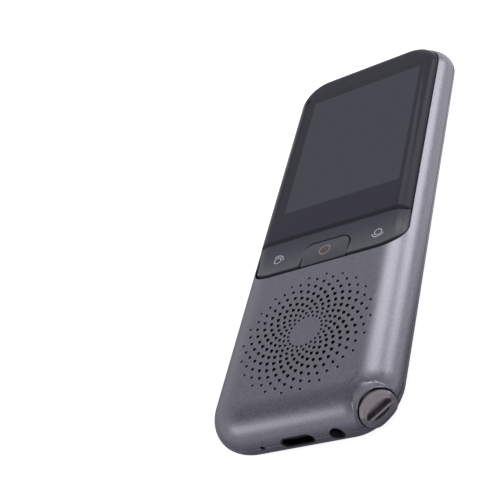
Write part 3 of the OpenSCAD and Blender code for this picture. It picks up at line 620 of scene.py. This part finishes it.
def inside(points, loop):
    """Which points lie inside a closed loop: those with an odd number of its sides to their right."""
    x, y = points[:, :1], points[:, 1:]
    x0, y0 = loop[:, 0], loop[:, 1]
    x1, y1 = np.roll(x0, -1), np.roll(y0, -1)
    spans = (y0 > y) != (y1 > y)
    rise = np.where(y1 == y0, 1.0, y1 - y0)
    return (spans & (x < x0 + (y - y0) / rise * (x1 - x0))).sum(1) % 2 == 1


def plate(name, corners, top, thickness, edge, spacing, finish, body, slot=None, grown=0.0):
    """A plate under a curved top: its rim is a quarter round of a given radius, its wall upright.

    Points on a square grid fill the outline, and top(x, y) gives each its height. The shading
    follows the top's own slope, which is measured over a short step to both sides.
    """
    core = outline(corners, grown - edge)
    low, high = core.min(0), core.max(0)
    grid = np.stack(np.meshgrid(
        np.arange(low[0] + spacing / 2, high[0], spacing), np.arange(low[1] + spacing / 2, high[1], spacing)
    ), -1).reshape(-1, 2)
    grid = grid[inside(grid, outline(corners, grown - edge - 0.35 * spacing))]
    n = len(core)
    loop = [(i, (i + 1) % n) for i in range(n)]
    flat = [Vector(p) for p in np.concatenate([core, grid]).tolist()]
    spots, _, triangles, _, _, _ = delaunay_2d_cdt(flat, loop, [], 1, 1e-7)
    spots = np.array([list(s) for s in spots])
    bend = np.linspace(0, math.pi / 2, RIM_STEPS + 1)[1:]
    rims = [outline(corners, grown - edge * (1 - math.sin(a))) for a in bend]
    drops = [edge * (1 - math.cos(a)) for a in bend]
    upper = np.column_stack([spots, top(spots[:, 0], spots[:, 1])])
    turned = [np.column_stack([rim, top(rim[:, 0], rim[:, 1]) - drop]) for rim, drop in zip(rims, drops)]
    foot = np.column_stack([rims[-1], top(rims[-1][:, 0], rims[-1][:, 1]) - thickness])
    m = len(spots)
    points = np.concatenate([upper, *turned, foot, upper - [0, 0, thickness]])
    faces = [list(t) for t in triangles]
    i = np.arange(n)
    j = (i + 1) % n
    faces += np.stack([i, m + i, m + j, j], -1).tolist()
    faces += [[f[0], f[3], f[2], f[1]] for f in strip_faces(RIM_STEPS + 1, n, m)]
    under = m + (RIM_STEPS + 1) * n
    faces += np.stack([under - n + i, under + i, under + j, under - n + j], -1).tolist()
    faces += [[under + v for v in reversed(t)] for t in triangles]
    piece = put(name, points, faces, finish, body, slot)
    mesh = piece.data
    mesh.set_sharp_from_angle(angle=PLATE_SHARP)
    step = 0.01
    x, y = spots.T
    slope_x = (top(x + step, y) - top(x - step, y)) / (2 * step)
    slope_y = (top(x, y + step) - top(x, y - step)) / (2 * step)
    true = np.stack([-slope_x, -slope_y, np.ones(m)], -1)
    true /= np.linalg.norm(true, axis=1)[:, None]
    normals = np.zeros((len(points), 3))
    normals[:m] = true
    normals[under:] = -true
    corner_points = np.zeros(len(mesh.loops), int)
    mesh.loops.foreach_get("vertex_index", corner_points)
    mesh.normals_split_custom_set(normals[corner_points].tolist())
    return piece


# ---------------------------------------------------------------- stud frame

STUD_ANGLE = math.radians(-48)
STUD_TILT = math.radians(20)
STUD_D = 9.6
STUD_L = 4.6
STUD_Z = 6.5
STUD_REACH = 11.75
STUD_GAP = 0.25
COLLAR_WALL = 0.3
COLLAR_R = 7.0
COLLAR_BEND = math.radians(42)
COLLAR_BODY_REACH = 3.0
COLLAR_REACH = STUD_D / 2 + STUD_GAP + COLLAR_WALL + COLLAR_R * (1 - math.cos(COLLAR_BEND)) + 0.1

STUD_FACE = np.array([
    HALF_W - CORNER + STUD_REACH * math.cos(STUD_ANGLE),
    CORNER - HALF_L + STUD_REACH * math.sin(STUD_ANGLE),
    STUD_Z,
])
OUTWARD = np.array([math.cos(STUD_ANGLE), math.sin(STUD_ANGLE), 0])
STUD_AXES = np.array([
    math.sin(STUD_TILT) * OUTWARD - [0, 0, math.cos(STUD_TILT)],
    [-OUTWARD[1], OUTWARD[0], 0],
    math.cos(STUD_TILT) * OUTWARD + [0, 0, math.sin(STUD_TILT)],
])


def at_stud(points):
    """Points of the stud's own frame, x down and z outwards along its tilted axis, in the part's frame."""
    return points @ STUD_AXES + STUD_FACE


def round_bar(r, low, high, steps=64):
    """A round bar along z."""
    x, y = ring(r, steps).T
    z = np.array([low, high])[:, None] + np.zeros(steps)
    return closed_tube(np.stack([np.broadcast_to(x, z.shape), np.broadcast_to(y, z.shape), z], -1))


def stud_tool(r, low, high):
    """A round tool on the stud's axis for carve()."""
    points, faces = round_bar(r, low, high)
    return solid(at_stud(points), faces)


# ---------------------------------------------------------------- shells

USB_W, USB_H, PORT_GAP = 9.0, 3.2, 0.15
JACK_X, JACK_R = 10.8, 1.9
MIC_X, MIC_R = -10.1, 0.65
POWER_Y, POWER_L, POWER_H = -9.0, 9.0, 2.2
SPEAKER_Y = -40.9
RINGS, HOLES = 12, 22
FIRST_RING, RING_STEP = 4.85, 1.25
HOLE_MIN, HOLE_MAX = 0.68, 1.12
HOLE_CHAMFER = 0.07


def cut_ports(piece):
    """Socket openings in the bottom end and the power button's opening in the left side."""
    near, far = -HALF_L - 1, -HALF_L + WALL + 3
    carve(piece, solid(*from_bottom_end(0, stadium(USB_W + 2 * PORT_GAP, USB_H + 2 * PORT_GAP), near, far)))
    carve(piece, solid(*from_bottom_end(JACK_X, ring(JACK_R), near, far)))
    carve(piece, solid(*from_bottom_end(MIC_X, ring(MIC_R, 24), near, far)))
    along = stadium(POWER_L + 2 * PORT_GAP, POWER_H + 2 * PORT_GAP)
    x = np.array([-HALF_W - 1, -HALF_W + WALL + 1])[:, None] + np.zeros(len(along))
    y = np.broadcast_to(POWER_Y + along[:, 0], x.shape)
    z = np.broadcast_to(SEAM + along[:, 1], x.shape)
    carve(piece, solid(*closed_tube(np.stack([x, y, z], -1))))


def grille_tool():
    """Tools for the staggered rings of holes, each flared at the face by a small chamfer.

    Hole i of ring k stands at angle i + (k mod 2) / 2 steps, and its size follows half a sine.
    """
    k, i = np.meshgrid(np.arange(RINGS), np.arange(HOLES), indexing="ij")
    turn = 2 * math.pi / HOLES * (i + k % 2 / 2)
    away = FIRST_RING + k * RING_STEP
    x0, y0 = -away * np.sin(turn), SPEAKER_Y + away * np.cos(turn)
    r = (HOLE_MIN + (HOLE_MAX - HOLE_MIN) * np.sin(math.pi * (k + 0.5) / RINGS)) / 2
    face = face_height(x0, y0)
    flare = np.array([0, 0, HOLE_CHAMFER, HOLE_CHAMFER + 0.4])
    height = np.array([-WALL - 1, -HOLE_CHAMFER, 0, 0.4])
    x, y = ring(1.0, 20).T
    wide = (r[..., None] + flare)[..., None]
    x = x0[..., None, None] + wide * x
    y = y0[..., None, None] + wide * y
    z = (face[..., None] + height)[..., None] + np.zeros_like(x)
    tubes = np.stack([x, y, z], -1).reshape(-1, 4, 20, 3)
    points, faces = closed_tube(tubes[0])
    count = len(points)
    every = [[v + t * count for v in f] for t in range(len(tubes)) for f in faces]
    return solid(tubes.reshape(-1, 3), every)


def box_tool(low, high):
    """A square tool for carve() between two corners."""
    x = np.array([low[0], high[0], high[0], low[0]])
    y = np.array([low[1], low[1], high[1], high[1]])
    return solid(*prism(np.stack([x, y], -1), low[2], high[2]))


COLLAR_SINK = 0.05
COLLAR_FOOT = 2
POCKET_OUT = 8


def add_collar(shell, half):
    """Joins on the flared collar round the stud, kept inside a given solid, and bores its pocket.

    The collar's foot runs on past the pocket's floor, and its rim is sunk just under the face.
    """
    bend = np.linspace(0, COLLAR_BEND, 12)
    away = STUD_D / 2 + STUD_GAP + COLLAR_WALL + COLLAR_R * (1 - np.cos(bend))
    out = -COLLAR_R * np.sin(bend) - COLLAR_SINK
    ends = (away, away[-1]), (out, -STUD_L - COLLAR_FOOT)
    away, out = (np.append(v, last)[::-1, None] for v, last in ends)
    x, y = ring(1.0, 96).T
    points, faces = closed_tube(np.stack([away * x, away * y, out + 0 * x], -1))
    collar = solid(at_stud(points), faces)
    carve(collar, solid(*half), "INTERSECT")
    carve(shell, collar, "UNION")
    carve(shell, stud_tool(STUD_D / 2 + STUD_GAP, -STUD_L, POCKET_OUT))


RECESS_T = 4.0
SEAT_GAP = 0.15
CUTTER_EDGE, CUTTER_GRID = 0.02, 1.5
BAND_OVERLAP = 0.4
DISPLAY_HALF_W, DISPLAY_TOP, DISPLAY_LEDGE = 21.7, 61.9, 3


def make_front_shell():
    """A hollow shell with a seat for the panel, an opening under the keys and one for the display."""
    shell = put("front_shell_smooth", *front_half(0, SEAM_CHAMFER), "shell_paint", "housing")
    carve(shell, solid(*front_half(WALL)))
    add_collar(shell, front_half(0, SEAM_CHAMFER, COLLAR_BODY_REACH))
    lift = RECESS_T - GLASS_T - SEAT_GAP
    carve(shell, plate("cutter", recess_corners(), lambda x, y: panel_height(x, y) + lift, RECESS_T,
                       CUTTER_EDGE, CUTTER_GRID, "shell_paint", None, grown=GROOVE))
    keys = solid(*prism(outline(recess_corners(), GROOVE, 24), SEAM + 1, FACE + 2))
    carve(keys, box_tool((-HALF_W, GLASS_BOTTOM + BAND_OVERLAP, 0), (HALF_W, HALF_L, FACE + 3)))
    carve(shell, keys)
    low = extent("display_tray")[0][1] + DISPLAY_LEDGE
    carve(shell, box_tool((-DISPLAY_HALF_W, low, SEAM), (DISPLAY_HALF_W, DISPLAY_TOP, FACE + 2)))
    carve(shell, grille_tool())
    cut_ports(shell)
    smooth_body(shell, FACE - SEAM, FRONT_REACH, FRONT_REACH, 1)
    bare_inside_and_painted_shade(shell)
    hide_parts("front_shell")


def make_rear_shell():
    """A hollow shell with a plain back."""
    shell = put("rear_shell_smooth", *rear_half(0, SEAM_CHAMFER), "shell_paint", "housing")
    carve(shell, solid(*rear_half(WALL)))
    add_collar(shell, rear_half(0, SEAM_CHAMFER))
    cut_ports(shell)
    smooth_body(shell, SEAM, REAR_SIDE_REACH, REAR_END_REACH, -1)
    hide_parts("rear_shell")


make_front_shell()
make_rear_shell()

# ---------------------------------------------------------------- glass and keys

BAND_HOLLOW = 1.0
KEY_CREST_Y = BAND_BOTTOM + 2.25
KEY_CREST_DROP = 0.4
KEY_FALL = 0.6
GLASS_EDGE, GLASS_GRID = 0.22, 0.7
KEY_EDGE, BAND_GRID, KEY_GRID = 0.25, 0.6, 0.5


def band_top(x, y):
    """The band is hollow along Y: level with the glass at both edges, and lowest halfway."""
    share = (2 * y - BAND_TOP - BAND_BOTTOM) / (BAND_TOP - BAND_BOTTOM)
    return panel_height(x, y) - BAND_HOLLOW * (1 - share**2)


def key_top(x, y):
    """The centre key is crowned along Y: its crest is near the bottom, and it falls towards the top."""
    share = (y - KEY_CREST_Y) / (KEY_TOP - KEY_CREST_Y)
    return panel_height(x, y) - KEY_CREST_DROP - KEY_FALL * share**2


def make_panel():
    """The cover glass, the key band and the centre key. Only the glass's upper side carries ink."""
    glass = plate("cover_glass_turned", glass_corners(), panel_height, GLASS_T, GLASS_EDGE, GLASS_GRID,
                  "cover_glass", "housing")
    glass.data.materials.append(FINISHES["clear_underside"])
    for face in glass.data.polygons:
        face.material_index = int(face.normal.z < -0.5)
    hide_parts("cover_glass")
    band = plate("rocker_band", band_corners(), band_top, KEY_T, KEY_EDGE, BAND_GRID, "key_gloss", "rocker")
    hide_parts("rocker_key")
    key = plate("centre_key_cap", key_corners(), key_top, KEY_T, KEY_EDGE, KEY_GRID, "key_gloss",
                "centre_button")
    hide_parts("centre_key")


FILM_PITCH, FILM_T = 0.03, 0.02
FILM_EDGE, FILM_GRID = 0.005, 1.5
FILM_GAP = 0.1
PICTURE_R = 0.1


def rectangle(x, low, high, r):
    """Corners for outline() of a rectangle from -x to x."""
    return [(x - r, low + r, r, -90, 0), (x - r, high - r, r, 0, 90),
            (r - x, high - r, r, 90, 180), (r - x, low + r, r, 180, 270)]


def make_display():
    """A black mask film laminated on the touch sensor, and the picture area on top of it."""
    mask_w, mask_l = WINDOW_W / 2 + MASK_MARGIN_X, WINDOW_L / 2 + MASK_MARGIN_Y
    films = (("display_mask", mask_w, mask_l, WINDOW_Y, MASK_R, "mask_film"),
             ("picture_area", PICTURE_W / 2, PICTURE_L / 2, PICTURE_Y, PICTURE_R, "picture_area"))
    base = extent("touch_panel")[1][2]
    for i, (name, half_w, half_l, y0, r, finish) in enumerate(films, 1):
        film = rectangle(half_w, y0 - half_l, y0 + half_l, r)
        under = GLASS_T + FILM_GAP
        plate(name, film, lambda x, y: np.minimum(base + i * FILM_PITCH, panel_height(x, y) - under),
              FILM_T, FILM_EDGE, FILM_GRID, finish, "housing", "display_dark")


make_panel()
make_display()


# ---------------------------------------------------------------- printed signs

SIGN_LINE = 0.26
SIGN_T = 0.02
SIGN_X, SIGN_Y = 15.6, -11.5
SIGN_RING_R, SIGN_ARC_R = 1.05, 1.75
CENTRE_SIGN_Y, CENTRE_SIGN_R, CENTRE_SIGN_LINE = -12.95, 1.6, 0.36


def sign(name, centre, radius, first, last, line, top, finish, body):
    """A printed arc or ring: a flat ribbon along a circle that lies on the key's curved top."""
    steps = max(8, int(abs(last - first) / 6))
    turn = np.radians(np.linspace(first, last, steps + 1))
    closed = abs(last - first) >= 360
    offsets = np.array([-line / 2, line / 2, line / 2, -line / 2])
    lift = np.array([SIGN_T, SIGN_T, -SIGN_T, -SIGN_T])
    if closed:
        turn = turn[:-1]
    x = centre[0] + (radius + offsets[None]) * np.cos(turn)[:, None]
    y = centre[1] + (radius + offsets[None]) * np.sin(turn)[:, None]
    z = top(x, y) + lift
    rows = np.stack([x, y, z], -1)
    if closed:
        rows = np.concatenate([rows, rows[:1]])
        points = rows[:-1].reshape(-1, 3)
        n = len(rows) - 1
        faces = [[v % (4 * n) for v in f] for f in strip_faces(n + 1, 4)]
    else:
        points, faces = closed_tube(rows)
    return put(name, points, [f[::-1] for f in faces], finish, body, "key_gloss")


def make_signs():
    """A ring with an arc over it on the left, a ring with an arc under it on the right, a middle ring."""
    for name, x, arc in (("left", -SIGN_X, (-10, 130)), ("right", SIGN_X, (190, 340))):
        for part, radius, span in (("ring", SIGN_RING_R, (0, 360)), ("arc", SIGN_ARC_R, arc)):
            sign(f"{name}_sign_{part}", (x, SIGN_Y), radius, *span, SIGN_LINE, band_top,
                 "white_print", "rocker")
    sign("centre_sign_ring", (0, CENTRE_SIGN_Y), CENTRE_SIGN_R, 0, 360, CENTRE_SIGN_LINE, key_top,
         "copper_print", "centre_button")


make_signs()

# ---------------------------------------------------------------- metal pieces seen from outside


METAL_SHARP = math.radians(32)


def dressed(name):
    """A smooth-shaded copy of a CAD node, its corners merged, that stands for the node."""
    source = frame["nodes"][name]
    piece = bpy.data.objects.new(name + "_smooth", source.data.copy())
    bpy.context.scene.collection.objects.link(piece)
    tool = piece.modifiers.new("merge", "WELD")
    tool.merge_threshold = 1e-6
    bpy.context.view_layer.update()
    merged = bpy.data.meshes.new_from_object(piece.evaluated_get(bpy.context.evaluated_depsgraph_get()))
    piece.modifiers.clear()
    piece.data = merged
    merged.shade_smooth()
    merged.set_sharp_from_angle(angle=METAL_SHARP)
    slot = [row["material_slot"] for row in frame["record"]["subparts"] if row["node"] == name][0]
    merged.materials.clear()
    merged.materials.append(FINISHES[slot])
    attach(piece, source["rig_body"])
    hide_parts(name)


STUD_BEVEL = 0.9
STUD_BEYOND = 0.3
SLOT_W, SLOT_H, SLOT_T = 7.0, 3.4, 2.4
BAR_D, BAR_DOWN, BAR_DEPTH, BAR_BEYOND = 1.1, 0.9, 0.75, 0.2


def turned(section, closed):
    """Points and faces turned about the stud's axis from (radius, height) pairs.

    A closed section makes a ring, and an open one a solid with flat ends.
    """
    away, out = np.array(section).T
    x, y = ring(1.0, 96).T
    loops = np.stack([away[:, None] * x, away[:, None] * y, out[:, None] + 0 * x], -1)
    if not closed:
        points, faces = closed_tube(loops)
        return at_stud(points), faces
    points = loops.reshape(-1, 3)
    return at_stud(points), [[v % len(points) for v in f] for f in strip_faces(len(section) + 1, len(x))]


def body_grown(by):
    """The whole body grown by a distance, with the fuller corners that the collar has."""
    whole = solid(*front_half(-by, reach=COLLAR_BODY_REACH))
    carve(whole, solid(*rear_half(-by)), "UNION")
    return whole


def make_stud():
    """A satin stud with a polished bevel, a lens-shaped slot and a bar across it for the lanyard.

    Its lower side follows the body's rounding.
    """
    r, face_r = STUD_D / 2, STUD_D / 2 - STUD_BEVEL
    section = [(r, -STUD_L), (r, -STUD_BEVEL), (face_r, -STUD_BEVEL), (face_r, 0)]
    stud = put("stud_body", *turned(section, False), "stud_metal", "housing")
    turn = np.arange(48) * 2 * math.pi / 48
    lens = np.stack([SLOT_H / 2 * np.cos(turn), SLOT_W / 2 * np.sin(turn)], -1)
    points, faces = prism(lens, -SLOT_T, 1)
    carve(stud, solid(at_stud(points), faces))
    bend = np.linspace(0, math.pi / 2, 10)
    section = np.stack([face_r + STUD_BEVEL * np.cos(bend), STUD_BEVEL * (np.sin(bend) - 1)], -1)
    bevel = put("stud_bevel", *turned([(face_r, -STUD_BEVEL), *section], True), "polished_metal", "housing",
                "stud_metal")
    for piece in (stud, bevel):
        carve(piece, body_grown(STUD_BEYOND), "INTERSECT")
        piece.data.set_sharp_from_angle(angle=METAL_SHARP)
    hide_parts("lanyard_stud")
    x, z = ring(BAR_D / 2, 24).T
    y = np.array([-1, 1])[:, None] * (SLOT_W / 2 + BAR_BEYOND) + 0 * x
    bar = np.stack([BAR_DOWN + 0 * y + x, y, z - BAR_DEPTH + 0 * y], -1)
    points, faces = closed_tube(bar[::-1])
    bar = put("lanyard_bar_smooth", at_stud(points), faces, "polished_metal", "housing", "stud_metal")
    bar.data.set_sharp_from_angle(angle=METAL_SHARP)
    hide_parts("lanyard_bar")


make_stud()

for visible in ("usb_shell", "usb_tongue", "headphone_jack", "power_button", "mic_boot", "microphone"):
    dressed(visible)

# ---------------------------------------------------------------- stage and light


FLOOR_REACH = 4.0
FLOOR_BELOW = 0.00005
SEEN_GLOW, PAINTED_REFLECTED_GLOW = 0.85, 0.45


def make_floor():
    """Pale studio paper, graded from grey in front to white behind, that is white to the camera. Behind, it
    also glows in reflections only: painted light for the object's right side to mirror.
    """
    mesh = bpy.data.meshes.new("floor")
    corners = [(x * FLOOR_REACH, y * FLOOR_REACH, 0) for x, y in ((-1, -1), (1, -1), (1, 1), (-1, 1))]
    mesh.from_pydata(corners, [], [(0, 1, 2, 3)])
    floor = bpy.data.objects.new("floor", mesh)
    bpy.context.scene.collection.objects.link(floor)
    floor.location.z = -FLOOR_BELOW
    material = bpy.data.materials.new("studio_paper")
    material.use_nodes = True
    tree = material.node_tree
    shader = tree.nodes["Principled BSDF"]
    place = add(tree, "ShaderNodeTexCoord").outputs["Object"]
    back_right = add(tree, "ShaderNodeVectorMath", {0: place, 1: (0.63, 0.78, 0)}, operation="DOT_PRODUCT")
    span = {"Value": back_right.outputs["Value"], "From Min": -0.01, "From Max": 0.03}
    share = add(tree, "ShaderNodeMapRange", span).outputs["Result"]
    tree.links.new(tinted(tree, "#c0c0c5", "#fafafc", share), shader.inputs["Base Color"])
    shader.inputs["Roughness"].default_value = 0.9
    rays = add(tree, "ShaderNodeLightPath").outputs
    seen = maths(tree, "ADD", rays["Is Camera Ray"], rays["Is Transmission Ray"], use_clamp=True)
    # Painted light: the back part of the floor glows in reflections only.
    painted_reflected_light = maths(tree, "MULTIPLY", rays["Is Glossy Ray"], share)
    glow = maths(tree, "MULTIPLY_ADD", painted_reflected_light, PAINTED_REFLECTED_GLOW, maths(tree, "MULTIPLY", seen, SEEN_GLOW))
    shader.inputs["Emission Color"].default_value = (1, 1, 1, 1)
    tree.links.new(glow, shader.inputs["Emission Strength"])
    mesh.materials.append(material)


def softbox(name, azimuth, elevation, distance, width, height, radiance):
    """A square lamp in a direction from the object, in degrees, turned to face it; sizes in metres."""
    a, e = math.radians(azimuth), math.radians(elevation)
    away = Vector((math.cos(a) * math.cos(e), math.sin(a) * math.cos(e), math.sin(e)))
    data = bpy.data.lights.new(name, "AREA")
    data.shape = "RECTANGLE"
    data.size, data.size_y = width, height
    data.energy = radiance * 4 * width * height
    lamp = bpy.data.objects.new(name, data)
    bpy.context.scene.collection.objects.link(lamp)
    lamp.location = away * distance
    lamp.rotation_euler = away.to_track_quat("Z", "Y").to_euler()


def make_light():
    """Two strips behind the right side, a box over the left front and a sky that darkens upwards."""
    softbox("strip_over_right", 79, 49, 1.0, 0.46, 0.38, 2.8)
    softbox("strip_beside_right", 51, 24, 1.0, 0.34, 0.44, 2.8)
    softbox("box_over_bottom", -142, 40, 1.1, 0.50, 0.34, 1.7)
    world = bpy.data.worlds.new("studio")
    bpy.context.scene.world = world
    world.use_nodes = True
    tree = world.node_tree
    sky = tree.nodes["Background"]
    place = add(tree, "ShaderNodeTexCoord").outputs["Generated"]
    height = add(tree, "ShaderNodeSeparateXYZ", {0: place}).outputs["Z"]
    ramp = add(tree, "ShaderNodeValToRGB", {"Fac": height})
    ramp.color_ramp.elements[0].position = 0.0
    ramp.color_ramp.elements[0].color = (0.7, 0.7, 0.73, 1)
    middle = ramp.color_ramp.elements.new(0.62)
    middle.color = (0.6, 0.6, 0.63, 1)
    ramp.color_ramp.elements[-1].position = 0.78
    ramp.color_ramp.elements[-1].color = (0.24, 0.24, 0.25, 1)
    rays = add(tree, "ShaderNodeLightPath")
    sides = {0: rays.outputs["Is Camera Ray"], 6: ramp.outputs["Color"], 7: (1, 1, 1, 1)}
    shown = add(tree, "ShaderNodeMix", sides, data_type="RGBA")
    tree.links.new(shown.outputs[2], sky.inputs["Color"])


make_floor()
make_light()

bpy.context.scene.view_settings.view_transform = "Standard"
